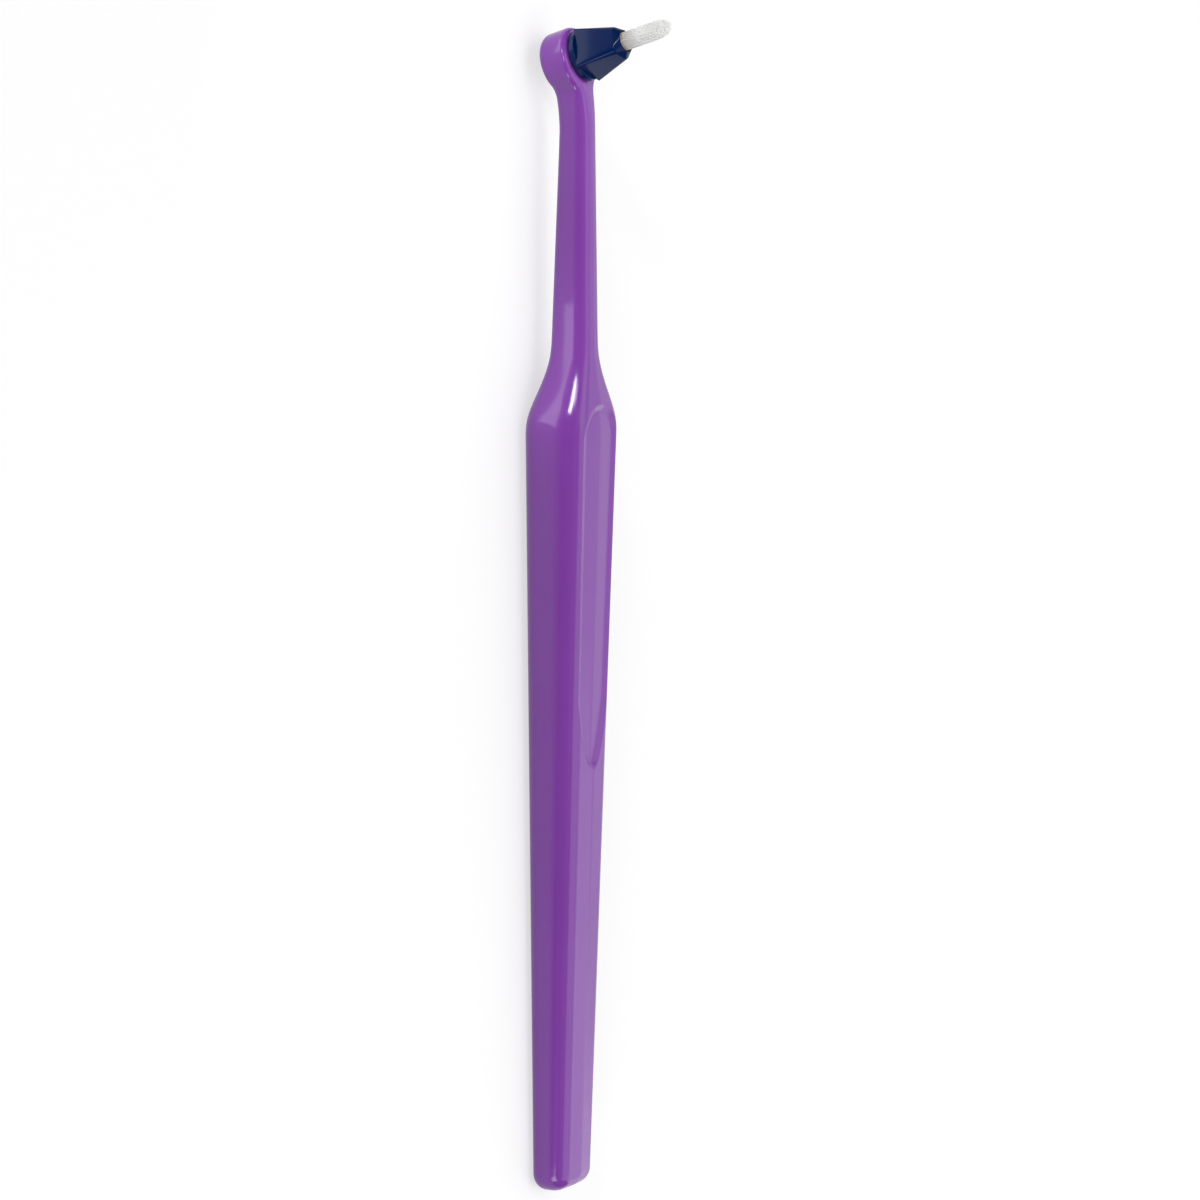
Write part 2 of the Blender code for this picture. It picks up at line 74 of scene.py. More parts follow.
side_on = np.array([0.0, math.sin(CAMERA_SIDE), math.cos(CAMERA_SIDE)])
across = np.array([0.0, -math.cos(CAMERA_SIDE), math.sin(CAMERA_SIDE)])
along = np.array([1.0, 0.0, 0.0])
towards_eye = math.cos(CAMERA_FORWARD) * side_on + math.sin(CAMERA_FORWARD) * along
level_up = math.cos(CAMERA_FORWARD) * along - math.sin(CAMERA_FORWARD) * side_on
frame_up = math.cos(CAMERA_ROLL) * level_up + math.sin(CAMERA_ROLL) * across
frame_right = math.cos(CAMERA_ROLL) * across - math.sin(CAMERA_ROLL) * level_up

lens = bpy.data.cameras.new("camera")
camera = bpy.data.objects.new("camera", lens)
bpy.context.scene.collection.objects.link(camera)
turned = np.eye(4)
turned[:3] = np.column_stack([frame_right, frame_up, towards_eye, CAMERA_PLACE])
camera.matrix_world = Matrix(turned.tolist())
lens.sensor_width = SENSOR_WIDTH
lens.lens = FOCAL_PIXELS / PHOTO_PIXELS * SENSOR_WIDTH
lens.clip_start = NEAREST_SEEN
bpy.context.scene.camera = camera
bpy.context.scene.view_settings.view_transform = "Standard"
print("lens in mm:", round(lens.lens, 1))

# %% [markdown]
# ## The light
# Each soft box is there for what the glossy handle mirrors towards the camera.
# The flat front mirrors the far boxes, the rounded near edge mirrors the ones
# overhead, and the head card makes the bright streak on the shoulder. The side
# wall mirrors the floor close by, so two tiny cards lie there for the soft
# light on the shoulder and the ring. The head fill and the butt card lift the
# two ends. The room is dim, and only the camera sees it as white.

# %% Light the studio
ROOM_STRENGTH = 0.08
WHITE = (1.0, 1.0, 1.0, 1.0)


def soft_box(name, place, aim, size, power, seen=True):
    """Put a rectangular lamp at a place, turned to shine at a point."""
    lamp = bpy.data.lights.new(name, "AREA")
    lamp.shape = "RECTANGLE"
    lamp.size, lamp.size_y = size
    lamp.energy = power
    holder = bpy.data.objects.new(name, lamp)
    bpy.context.scene.collection.objects.link(holder)
    holder.location = place
    holder.rotation_euler = (Vector(aim) - Vector(place)).to_track_quat("-Z", "Y").to_euler()
    holder.visible_camera = seen


soft_box("key", (0.36, 0.20, 0.84), (0.04, 0.0, 0.0), (0.6, 0.6), 0.4)
soft_box("near_high", (-0.12, 0.60, 0.84), (-0.12, 0.0, 0.0), (1.8, 0.36), 0.4)
soft_box("overhead", (-0.12, 0.08, 1.0), (-0.12, 0.08, 0.0), (1.8, 0.66), 5.0)
soft_box("overhead_butt", (-0.46, 0.08, 1.0), (-0.46, 0.08, 0.0), (0.6, 0.66), 0.9)
soft_box("far_high", (-0.12, -0.68, 0.87), (0.0, 0.0, 0.0), (1.8, 0.93), 5.4)
soft_box("far_low", (-0.15, -1.06, 0.285), (-0.15, 0.0, 0.2), (1.8, 0.55), 3.0)
soft_box("far_butt", (-0.60, -0.86, 0.60), (0.0, 0.0, 0.0), (0.7, 0.95), 1.2)
soft_box("head_card", (0.83, 0.83, 0.32), (0.05, 0.0, 0.0), (0.22, 0.22), 4.0)
soft_box("butt_card", (-0.26, 0.26, 0.08), (-0.08, 0.0, 0.0), (0.16, 0.12), 0.3)
soft_box("head_fill", (0.100, 0.060, 0.045), (0.083, 0.0, 0.018), (0.02, 0.02), 0.0118)
soft_box(
    "shoulder_card", (0.0368, 0.0140, 0.0006), (0.0368, 0.0120, 0.0100), (0.014, 0.018), 0.0016, seen=False
)
soft_box("ring_card", (0.0890, 0.0095, 0.0006), (0.0880, 0.0085, 0.0100), (0.010, 0.009), 0.0006, seen=False)

world = bpy.data.worlds.new("studio")
bpy.context.scene.world = world
world.use_nodes = True
sky = world.node_tree.nodes
sky_links = world.node_tree.links
sky["Background"].inputs["Color"].default_value = WHITE
sky["Background"].inputs["Strength"].default_value = ROOM_STRENGTH
seen_white = sky.new("ShaderNodeBackground")
seen_white.inputs["Color"].default_value = WHITE
seen_white.inputs["Strength"].default_value = 1.0
which_ray = sky.new("ShaderNodeLightPath")
choose = sky.new("ShaderNodeMixShader")
sky_links.new(which_ray.outputs["Is Camera Ray"], choose.inputs[0])
sky_links.new(sky["Background"].outputs[0], choose.inputs[1])
sky_links.new(seen_white.outputs[0], choose.inputs[2])
sky_links.new(choose.outputs[0], sky["World Output"].inputs["Surface"])
print("lamps:", [lamp.name for lamp in bpy.data.lights])

# %% [markdown]
# ## Small tools for surfaces
# Every new piece is a grid of points that a formula gives, worked out with
# numpy for all the points at once. These helpers turn rings of points into a
# mesh, clean it, and work out shares and eased steps between two values.


# %% Helpers
def put_in_scene(name, points, faces, finish):
    """Return a smooth-shaded mesh object made of an array of points and a list of faces."""
    mesh = bpy.data.meshes.new(name)
    mesh.from_pydata(np.asarray(points).reshape(-1, 3).tolist(), [], faces)
    mesh.validate()
    mesh.update()
    piece = bpy.data.objects.new(name, mesh)
    bpy.context.scene.collection.objects.link(piece)
    mesh.materials.append(finish)
    mesh.shade_smooth()
    return piece


def ring_faces(rows, columns):
    """Return the quads between rows of points, where every row closes on itself."""
    row = np.arange(rows - 1)[:, None]
    column = np.arange(columns)[None, :]
    after = (column + 1) % columns
    quads = np.stack(
        [
            row * columns + column,
            row * columns + after,
            (row + 1) * columns + after,
            (row + 1) * columns + column,
        ],
        axis=-1,
    )
    return quads.reshape(-1, 4).tolist()


def tidy_mesh(piece, merge_distance, sharp_degrees):
    """Merge doubles, point the faces outwards and mark the sharp edges."""
    body = bmesh.new()
    body.from_mesh(piece.data)
    bmesh.ops.remove_doubles(body, verts=body.verts, dist=merge_distance)
    bmesh.ops.dissolve_degenerate(body, edges=body.edges, dist=merge_distance)
    bmesh.ops.recalc_face_normals(body, faces=body.faces)
    open_edges = sum(1 for edge in body.edges if not edge.is_manifold)
    body.to_mesh(piece.data)
    body.free()
    piece.data.shade_smooth()
    piece.data.set_sharp_from_angle(angle=math.radians(sharp_degrees))
    print(piece.name, "faces:", len(piece.data.polygons), "open edges:", open_edges)


def mix(first, second, share):
    """The value a share of the way from first to second."""
    return first + (second - first) * share


def share_between(value, start, end):
    """How far a value lies from start to end, held between 0 and 1."""
    return np.clip((value - start) / (end - start), 0.0, 1.0)


def ease(share):
    """An S-shaped share: three times its square less twice its cube."""
    return share * share * (3.0 - 2.0 * share)


# %% [markdown]
# ## Small tools for finishes
# A finish is a tree of nodes that starts from the piece's own coordinates. A
# few short functions make the nodes that come back in every tree.

# %% Finish helpers
MIX_FACTOR, MIX_FIRST_COLOUR, MIX_SECOND_COLOUR = 0, 6, 7
MIX_COLOUR_RESULT = 2


def node(tree, kind, **settings):
    """Return a new shader node with some of its settings changed."""
    made = tree.nodes.new(kind)
    for name, value in settings.items():
        setattr(made, name, value)
    return made


def feed(tree, socket, value):
    """Link another node's output to a socket, or set the socket to a plain value."""
    if isinstance(value, bpy.types.NodeSocket):
        tree.links.new(value, socket)
    else:
        socket.default_value = value


def new_finish(name):
    """Return a new material, its tree, its shader and the piece's coordinates."""
    finish = bpy.data.materials.new(name)
    finish.use_nodes = True
    tree = finish.node_tree
    where = node(tree, "ShaderNodeTexCoord")
    return finish, tree, tree.nodes["Principled BSDF"], where.outputs["Object"]


def noise(tree, where, scale, detail=2.0):
    """Return a noise value at a place."""
    made = node(tree, "ShaderNodeTexNoise")
    made.inputs["Scale"].default_value = scale
    made.inputs["Detail"].default_value = detail
    feed(tree, made.inputs["Vector"], where)
    return made.outputs["Fac"]


def remap(tree, value, start, end, low, high):
    """Return a value that goes from low to high while the given one goes from start to end."""
    made = node(tree, "ShaderNodeMapRange")
    made.inputs["From Min"].default_value = start
    made.inputs["From Max"].default_value = end
    made.inputs["To Min"].default_value = low
    made.inputs["To Max"].default_value = high
    feed(tree, made.inputs["Value"], value)
    return made.outputs["Result"]


def blend(tree, factor, first, second, how="MIX"):
    """Return two colours laid over each other by a factor."""
    made = node(tree, "ShaderNodeMix", data_type="RGBA", blend_type=how)
    feed(tree, made.inputs[MIX_FACTOR], factor)
    feed(tree, made.inputs[MIX_FIRST_COLOUR], first)
    feed(tree, made.inputs[MIX_SECOND_COLOUR], second)
    return made.outputs[MIX_COLOUR_RESULT]


def calculate(tree, operation, *values):
    """Return the result of a sum on plain values or other nodes' outputs."""
    made = node(tree, "ShaderNodeMath", operation=operation)
    for socket, value in zip(made.inputs, values):
        feed(tree, socket, value)
    return made.outputs["Value"]


# %% [markdown]
# ## Finishes
# The handle and the head are glossy mouldings. Real ones are never perfectly
# even: the colour drifts a little, the skin has the faint ripple of the mould,
# and handling leaves fine scratches that only show in the shine. Four noises
# of unlike scale give all of that, and the plain values sit on the shader.

# %% Finishes
PLASTIC_IOR = 1.5
SCRATCH_STRETCH = (150.0, 2200.0, 2200.0)
SCRATCH_START = 0.35
SCRATCH_END = 0.75
SHEEN_BELOW = 0.015
SHEEN_ABOVE = 0.035
FINE_RIPPLE_SHARE = 0.08
RIPPLE_HEIGHT = 0.00006
HEAD_SPECULAR = 0.15
# Painted shade: the tuft's foot is coloured grey, where little light gets in between the strands.
NYLON_FOOT_PAINTED_SHADE = (0.62, 0.58, 0.54, 1.0)
NYLON_TIP = (0.99, 0.99, 0.98, 1.0)
NYLON_PAINTED_SHADE_SHARE = 0.35
NYLON_GRAIN = 0.03
NYLON_SCATTER = 0.0006


def moulded_plastic(name, colour, deep_colour, roughness, ripple):
    """Return a glossy plastic whose colour drifts between two tones.

    Fine rubbed lines along the piece change its roughness, and two noises, one
    slow and one fine, give the faint ripple of a moulded skin.
    """
    finish, tree, shader, where = new_finish(name)
    drift = noise(tree, where, scale=60.0, detail=3.0)
    feed(tree, shader.inputs["Base Color"], blend(tree, drift, (*colour, 1.0), (*deep_colour, 1.0)))
    stretch = node(tree, "ShaderNodeMapping")
    stretch.inputs["Scale"].default_value = SCRATCH_STRETCH
    feed(tree, stretch.inputs["Vector"], where)
    rubbed = noise(tree, stretch.outputs["Vector"], scale=1.0, detail=6.0)
    glossiest = roughness - SHEEN_BELOW
    dullest = roughness + SHEEN_ABOVE
    sheen = remap(tree, rubbed, SCRATCH_START, SCRATCH_END, glossiest, dullest)
    feed(tree, shader.inputs["Roughness"], sheen)
    slow = noise(tree, where, scale=160.0, detail=1.0)
    fine = noise(tree, where, scale=1400.0)
    bump = node(tree, "ShaderNodeBump")
    bump.inputs["Strength"].default_value = ripple
    bump.inputs["Distance"].default_value = RIPPLE_HEIGHT
    feed(tree, bump.inputs["Height"], calculate(tree, "MULTIPLY_ADD", fine, FINE_RIPPLE_SHARE, slow))
    feed(tree, shader.inputs["Normal"], bump.outputs["Normal"])
    shader.inputs["IOR"].default_value = PLASTIC_IOR
    return finish


def strand_nylon(base, axis, length):
    """Return nylon with painted shade: greyer at the tuft's foot, where less light gets in."""
    finish, tree, shader, where = new_finish("tuft_nylon")
    shift = node(tree, "ShaderNodeVectorMath", operation="SUBTRACT")
    feed(tree, shift.inputs[0], where)
    feed(tree, shift.inputs[1], tuple(base))
    climb = node(tree, "ShaderNodeVectorMath", operation="DOT_PRODUCT")
    feed(tree, climb.inputs[0], shift.outputs["Vector"])
    feed(tree, climb.inputs[1], tuple(axis))
    # Painted shade: grey at the tuft's foot, turning to the white nylon over the lowest third of its length.
    painted_shade_ramp = node(tree, "ShaderNodeValToRGB")
    painted_shade_ramp.color_ramp.elements[0].color = NYLON_FOOT_PAINTED_SHADE
    painted_shade_ramp.color_ramp.elements[1].color = NYLON_TIP
    painted_shade_ramp.color_ramp.elements[1].position = NYLON_PAINTED_SHADE_SHARE
    feed(tree, painted_shade_ramp.inputs["Fac"], remap(tree, climb.outputs["Value"], 0.0, length, 0.0, 1.0))
    grain = noise(tree, where, scale=4000.0)
    grained = blend(tree, NYLON_GRAIN, painted_shade_ramp.outputs["Color"], grain, "MULTIPLY")
    feed(tree, shader.inputs["Base Color"], grained)
    shader.inputs["Roughness"].default_value = 0.32
    shader.inputs["Subsurface Weight"].default_value = 0.05
    shader.inputs["Subsurface Radius"].default_value = (NYLON_SCATTER, NYLON_SCATTER, NYLON_SCATTER)
    return finish


def drawn_metal():
    """Return bright metal that is a little uneven in its shine."""
    finish, tree, shader, where = new_finish("anchor_metal")
    spots = noise(tree, where, scale=5000.0)
    feed(tree, shader.inputs["Roughness"], remap(tree, spots, 0.0, 1.0, 0.25, 0.45))
    shader.inputs["Base Color"].default_value = (0.62, 0.61, 0.57, 1.0)
    shader.inputs["Metallic"].default_value = 1.0
    return finish


purple = moulded_plastic("handle_plastic", (0.258, 0.063, 0.432), (0.226, 0.050, 0.390), 0.14, 0.4)
navy = moulded_plastic("head_plastic", (0.0004, 0.0150, 0.092), (0.0002, 0.0120, 0.078), 0.16, 0.4)
navy.node_tree.nodes["Principled BSDF"].inputs["Specular IOR Level"].default_value = HEAD_SPECULAR
steel = drawn_metal()
print("finishes:", [finish.name for finish in bpy.data.materials])

# %% [markdown]
# ## The handle
# The handle is one moulding. Its outline from the front is a tapering strip
# with round corners at the butt, a shoulder, a neck, and a circle that two
# fillets join to the neck. Its side view is a middle line that bends back
# before the ring. A loft of sections carries both, and because each section
# asks the same outline for its width at any inset, the edge rounding runs
# evenly round every corner, the ring's rim included.

# %% The handle's sizes
GRIP_LENGTH = 111.8 * MM
SHOULDER_LENGTH = 11.6 * MM
NECK_LENGTH = 29.9 * MM
BEND_LENGTH = 10.0 * MM
RING_NECK_LENGTH = 0.2 * MM
HEAD_TILT = math.radians(17.4)
SHOULDER_CURVE = 0.8
SOFTENING = 1.6 * MM
SOFTENING_SAMPLES = 9
WIDTHS = (9.8 * MM, 13.7 * MM, 5.1 * MM, 4.2 * MM)
THICKNESSES = (5.6 * MM, 10.1 * MM, 6.2 * MM, 4.9 * MM)
HEIGHTS = (THICKNESSES[0] / 2, THICKNESSES[1] / 2, 5.65 * MM, 6.25 * MM)
BACK_ROUNDS = (1.9 * MM, 3.2 * MM, 1.6 * MM, 1.6 * MM)
FRONT_ROUNDS = (2.4 * MM, 3.4 * MM, 1.8 * MM, 1.7 * MM)
FRONT_RISES = (2.9 * MM, 4.8 * MM, 2.4 * MM, 2.2 * MM)
BUTT_CORNER = 2.6 * MM
RING_RADIUS = 4.5 * MM
RING_THICKNESS = 4.65 * MM
RING_FILLET = 2.4 * MM
RING_BACK_ROUND = 1.2 * MM
RING_FRONT_ROUND = 0.8 * MM
SOCKET_RADIUS = 2.40 * MM

SHOULDER_END = GRIP_LENGTH + SHOULDER_LENGTH
BEND_START = SHOULDER_END + NECK_LENGTH
BEND_END = BEND_START + BEND_LENGTH
RING_CENTRE = BEND_END + RING_NECK_LENGTH
HANDLE_END = RING_CENTRE + RING_RADIUS
FILLET_REACH = RING_RADIUS + RING_FILLET
FILLET_SIDE = WIDTHS[3] / 2 + RING_FILLET
FILLET_START = RING_CENTRE - math.sqrt(FILLET_REACH**2 - FILLET_SIDE**2)
BUTT_X = float(handle_low[0])


def stepped(station, sizes):
    """A size at each station: straight along grip and neck, with an eased step between.

    sizes holds the values at the butt, the grip's top, the neck's foot and the
    neck's end.
    """
    butt, grip, foot, end = sizes
    on_grip = mix(butt, grip, share_between(station, 0.0, GRIP_LENGTH))
    on_neck = mix(foot, end, share_between(station, SHOULDER_END, BEND_START))
    step = ease(share_between(station, GRIP_LENGTH, SHOULDER_END) ** SHOULDER_CURVE)
    return mix(on_grip, on_neck, step)


def along_handle(station, sizes):
    """The same size averaged over a short window, which rounds the shoulder's two corners."""
    window = SOFTENING * np.linspace(-1.0, 1.0, SOFTENING_SAMPLES)
    return sum(stepped(station + offset, sizes) for offset in window) / len(window)


def middle_line(station):
    """x, z and lean of the middle line: straight, then an arc, then straight again."""
    bend_radius = BEND_LENGTH / HEAD_TILT
    bent = np.clip(station - BEND_START, 0.0, BEND_LENGTH)
    after = np.maximum(station - BEND_END, 0.0)
    lean = bent / bend_radius
    x = np.minimum(station, BEND_START) + bend_radius * np.sin(lean) + after * np.cos(lean)
    z = along_handle(station, HEIGHTS) - bend_radius * (1.0 - np.cos(lean)) - after * np.sin(lean)
    return BUTT_X + x, z, lean


def outline(station, inset):
    """Half the width of the front outline, moved inwards by inset.

    The strip's half width less the inset; at the butt a quarter circle; at the
    ring the root of the squared radius less the squared distance to its
    middle; between strip and ring the fillet's circle, seen from outside.
    """
    half = along_handle(station, WIDTHS) / 2
    strip = half - inset
    at_butt = np.maximum((BUTT_CORNER - inset) ** 2 - (BUTT_CORNER - station) ** 2, 0.0)
    strip = np.where(station < BUTT_CORNER, half - BUTT_CORNER + np.sqrt(at_butt), strip)
    in_fillet = np.maximum((RING_FILLET + inset) ** 2 - (station - FILLET_START) ** 2, 0.0)
    fillet = FILLET_SIDE - np.sqrt(in_fillet)
    in_ring = np.maximum((RING_RADIUS - inset) ** 2 - (station - RING_CENTRE) ** 2, 0.0)
    turn = RING_CENTRE - (RING_CENTRE - FILLET_START) * (RING_RADIUS - inset) / FILLET_REACH
    return np.where(station > turn, np.sqrt(in_ring), np.where(station > FILLET_START, fillet, strip))


print("handle end from butt in mm:", round(HANDLE_END / MM, 2))

# %% [markdown]
# ### The thumb recess
# The grip has a long shallow dish for the thumb: round at the top, pointed
# low down, with sloping walls and a flat floor. A Boolean would cut it in one
# step, but its walls would then be plain facets. Here the depth is a function
# of the distance to the dish's rim, so the rim is softly rounded and the wall
# flows into the floor. The wall's profile comes from its slope, which grows
# over the first part of the wall and fades over the last.

# %% The thumb recess
RECESS_START = 61.8 * MM
RECESS_LENGTH = 53.0 * MM
RECESS_END = RECESS_START + RECESS_LENGTH
RECESS_TOP_HALF = 4.8 * MM
RECESS_LOW_HALF = 4.0 * MM
RECESS_TOP_END = 5.3 * MM
RECESS_LOW_END = 10.0 * MM
RECESS_LOW_POWER = 0.45
RECESS_WALL_RUN = 1.3 * MM
RECESS_DEPTH = 0.6 * MM
RIM_ROUND_SHARE = 0.14
FLOOR_ROUND_SHARE = 0.45
RIM_POINTS = 700
WALL_POINTS = 201
SEARCH_PARTS = 40


def recess_half_width(station):
    """Half the recess's width: a slow taper, an ellipse at the top, a power curve below."""
    share = share_between(station, RECESS_START, RECESS_END)
    full = mix(RECESS_LOW_HALF, RECESS_TOP_HALF, share)
    low = np.minimum(share * RECESS_LENGTH / RECESS_LOW_END, 1.0) ** RECESS_LOW_POWER
    top = np.minimum((1.0 - share) * RECESS_LENGTH / RECESS_TOP_END, 1.0)
    return full * low * np.sqrt(1.0 - (1.0 - top) ** 2)


rim_share = 0.5 - 0.5 * np.cos(np.linspace(0.0, math.pi, RIM_POINTS))
rim_station = RECESS_START + RECESS_LENGTH * rim_share
rim_half = recess_half_width(rim_station)
wall_steps = np.linspace(0.0, 1.0, WALL_POINTS)
wall_slope = np.clip(wall_steps / RIM_ROUND_SHARE, 0.0, 1.0)
wall_slope = wall_slope * np.clip((1.0 - wall_steps) / FLOOR_ROUND_SHARE, 0.0, 1.0)
wall_drop = np.concatenate([[0.0], np.cumsum((wall_slope[1:] + wall_slope[:-1]) / 2)])
wall_drop /= wall_drop[-1]


def recess_depth(station, y):
    """Depth below the front: the wall's profile at the distance to the nearest rim point."""
    station, y = np.broadcast_arrays(station, y)
    flat_station, flat_y = station.ravel(), np.abs(y).ravel()
    inside = flat_y < recess_half_width(flat_station)
    inside &= (flat_station > RECESS_START) & (flat_station < RECESS_END)
    distance = np.zeros(flat_y.shape)
    for part in np.array_split(np.flatnonzero(inside), SEARCH_PARTS):
        across_rim = flat_y[part, None] - rim_half[None, :]
        along_rim = flat_station[part, None] - rim_station[None, :]
        distance[part] = np.sqrt((across_rim**2 + along_rim**2).min(axis=1))
    depth = RECESS_DEPTH * np.interp(distance / RECESS_WALL_RUN, wall_steps, wall_drop)
    return np.where(inside, depth, 0.0).reshape(y.shape)


looked_at = np.array([65.0, 80.0, 100.0]) * MM
print("recess half widths in mm:", np.round(recess_half_width(looked_at) / MM, 2))

# %% [markdown]
# ### Laying the handle's grid
# Rows run across the handle and columns along it. Rows crowd where the form
# turns: at the butt, the recess's ends, the shoulder, the fillets and the
# ring. Across the handle they crowd on the rounded edges, where the shine
# shows every flat spot. The front is not quite flat: it falls a little to both
# sides from a soft ridge along its middle.

# %% Lay the grid
RIDGE_SLOPE = 0.085
RIDGE_SOFTNESS = 0.12
LEAST_STEP = 0.0025 * MM
BUTT_ROWS = 18
GRIP_ROWS = 22
RECESS_END_ROWS = 60
RECESS_ROWS = 60
SHOULDER_ROWS = 26
NECK_ROWS = 16
BEND_ROWS = 12
FILLET_ROWS = 34
RING_ROWS = 44
FRONT_EDGE_COLUMNS = 41
BACK_EDGE_COLUMNS = 13
FACE_COLUMNS = 30
REAR_COLUMNS = 6
HANDLE_MERGE = 2e-6
HANDLE_SHARP_DEGREES = 30.0


def crowded(start, end, count):
    """Stations that crowd towards the end, spaced as on a quarter circle."""
    return start + (end - start) * np.sin(np.linspace(0.0, math.pi / 2, count))


stations = np.concatenate(
    [
        BUTT_CORNER - crowded(0.0, BUTT_CORNER, BUTT_ROWS),
        np.linspace(BUTT_CORNER, RECESS_START, GRIP_ROWS),
        RECESS_START + RECESS_LOW_END * np.linspace(0.0, 1.0, RECESS_END_ROWS) ** 2,
        np.linspace(RECESS_START + RECESS_LOW_END, RECESS_END - RECESS_TOP_END, RECESS_ROWS),
        crowded(RECESS_END - RECESS_TOP_END, RECESS_END, RECESS_END_ROWS),
        np.linspace(RECESS_END, SHOULDER_END, SHOULDER_ROWS),
        np.linspace(SHOULDER_END, BEND_START, NECK_ROWS),
        np.linspace(BEND_START, FILLET_START, BEND_ROWS),
        np.linspace(FILLET_START, RING_CENTRE, FILLET_ROWS),
        crowded(RING_CENTRE, HANDLE_END, RING_ROWS),
    ]
)
stations = np.sort(stations)
stations = stations[np.append(True, np.diff(stations) > LEAST_STEP)][:, None]
end_gap = np.minimum(stations, HANDLE_END - stations)
to_ring = ease(share_between(stations, BEND_START, BEND_END))
half_thickness = mix(along_handle(stations, THICKNESSES), RING_THICKNESS, to_ring) / 2
front_round = mix(along_handle(stations, FRONT_ROUNDS), RING_FRONT_ROUND, to_ring)
front_rise = mix(along_handle(stations, FRONT_RISES), RING_FRONT_ROUND, to_ring)
back_round = mix(along_handle(stations, BACK_ROUNDS), RING_BACK_ROUND, to_ring)


def rounded_edge(radius, rise_radius, columns):
    """Half widths and heights round one edge, from the side wall up to the face.

    The edge is a quarter ellipse. At an angle, the inset is its half axis
    across times one less the cosine, never past the handle's end, and the
    height follows from the same ellipse with its upright half axis.
    """
    turns = np.linspace(0.0, math.pi / 2, columns)[None, :]
    inset = np.minimum(radius * (1.0 - np.cos(turns)), end_gap)
    rise = rise_radius * np.sqrt(np.maximum(1.0 - (1.0 - inset / radius) ** 2, 0.0))
    return outline(stations, inset), half_thickness - rise_radius + rise


front_y, front_z = rounded_edge(front_round, front_rise, FRONT_EDGE_COLUMNS)
back_y, back_z = rounded_edge(back_round, back_round, BACK_EDGE_COLUMNS)
flat_half = front_y[:, -1:]
face_share = np.linspace(0.0, 1.0, FACE_COLUMNS)[None, :]
face_y = flat_half * face_share
ridge_share = np.sqrt(face_share**2 + RIDGE_SOFTNESS**2)
ridge_rise = RIDGE_SLOPE * flat_half * np.maximum(1.0 - ridge_share, 0.0) * (1.0 - to_ring)
face_z = front_z[:, -1:] + ridge_rise - recess_depth(stations, face_y)
front_z = front_z - recess_depth(stations, front_y)
rear_y = back_y[:, -1:] * np.linspace(0.0, 1.0, REAR_COLUMNS)[None, :]
rear_z = np.broadcast_to(back_z[:, -1:], rear_y.shape)
half_y = np.concatenate([face_y[:, :-1], front_y[:, ::-1], back_y, rear_y[:, -2::-1]], axis=1)
half_z = np.concatenate([face_z[:, :-1], front_z[:, ::-1], -back_z, -rear_z[:, -2::-1]], axis=1)
section_y = np.concatenate([half_y, -half_y[:, -2:0:-1]], axis=1)
section_z = np.concatenate([half_z, half_z[:, -2:0:-1]], axis=1)
middle_x, middle_z, lean = middle_line(stations)
grid = np.stack(
    [
        middle_x + section_z * np.sin(lean),
        section_y,
        middle_z + section_z * np.cos(lean),
    ],
    axis=-1,
)
rows, columns = grid.shape[:2]
butt_face = list(range(columns))
handle = put_in_scene("handle_skin", grid, ring_faces(rows, columns) + [butt_face], purple)
tidy_mesh(handle, HANDLE_MERGE, HANDLE_SHARP_DEGREES)
print("rows and columns:", rows, columns)

# %% [markdown]
# ### The socket
# The ring's bore takes the head's plug. It runs through to the back, where
# the plug's end shows. The cutter is a turned rod that flares at both mouths,
# so that the cut leaves the small round lip that a mould leaves.

# %% Cut the socket
LIP = 0.15 * MM
LIP_STEPS = 6
SOCKET_SIDES = 96

ring_x, ring_z, ring_lean = (float(value) for value in middle_line(RING_CENTRE))
head_axis = np.array([math.sin(ring_lean), 0.0, math.cos(ring_lean)])
head_front = np.array([math.cos(ring_lean), 0.0, -math.sin(ring_lean)])
head_left = np.array([0.0, 1.0, 0.0])
ring_middle = np.array([ring_x, 0.0, ring_z])


def on_head_axis(to_front, to_left, height):
    """Points given by two distances across the head's axis and one along it."""
    to_front, to_left, height = np.broadcast_arrays(to_front, to_left, height)
    return (
        ring_middle
        + to_front[..., None] * head_front
        + to_left[..., None] * head_left
        + height[..., None] * head_axis
    )


lip_turn = np.linspace(0.0, math.pi / 2, LIP_STEPS)
half_ring = RING_THICKNESS / 2
lip_radius = SOCKET_RADIUS + LIP * (1.0 - np.sin(lip_turn))
lip_height = half_ring - LIP * (1.0 - np.cos(lip_turn))
rod_radius = np.concatenate([[0.0, SOCKET_RADIUS + LIP], lip_radius])
rod_height = np.concatenate([[half_ring + LIP, half_ring + LIP], lip_height])
rod_radius = np.concatenate([rod_radius, rod_radius[::-1]])[:, None]
rod_height = np.concatenate([rod_height, -rod_height[::-1]])[:, None]
circle = np.linspace(0.0, 2.0 * math.pi, SOCKET_SIDES + 1)[None, :-1]
rod_grid = on_head_axis(rod_radius * np.cos(circle), rod_radius * np.sin(circle), rod_height)
rod = put_in_scene("socket_rod", rod_grid, ring_faces(*rod_grid.shape[:2]), purple)
tidy_mesh(rod, HANDLE_MERGE, HANDLE_SHARP_DEGREES)
cut = handle.modifiers.new("socket", "BOOLEAN")
cut.operation = "DIFFERENCE"
cut.solver = "EXACT"
cut.object = rod
bpy.context.view_layer.objects.active = handle
bpy.context.view_layer.update()
evaluated = handle.evaluated_get(bpy.context.evaluated_depsgraph_get())
cut_mesh = bpy.data.meshes.new_from_object(evaluated)
uncut_mesh = handle.data
handle.modifiers.clear()
handle.data = cut_mesh
bpy.data.meshes.remove(uncut_mesh)
cut_mesh.name = "handle_skin"
bpy.data.objects.remove(rod)
tidy_mesh(handle, HANDLE_MERGE, HANDLE_SHARP_DEGREES)
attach(handle, "handle_body")
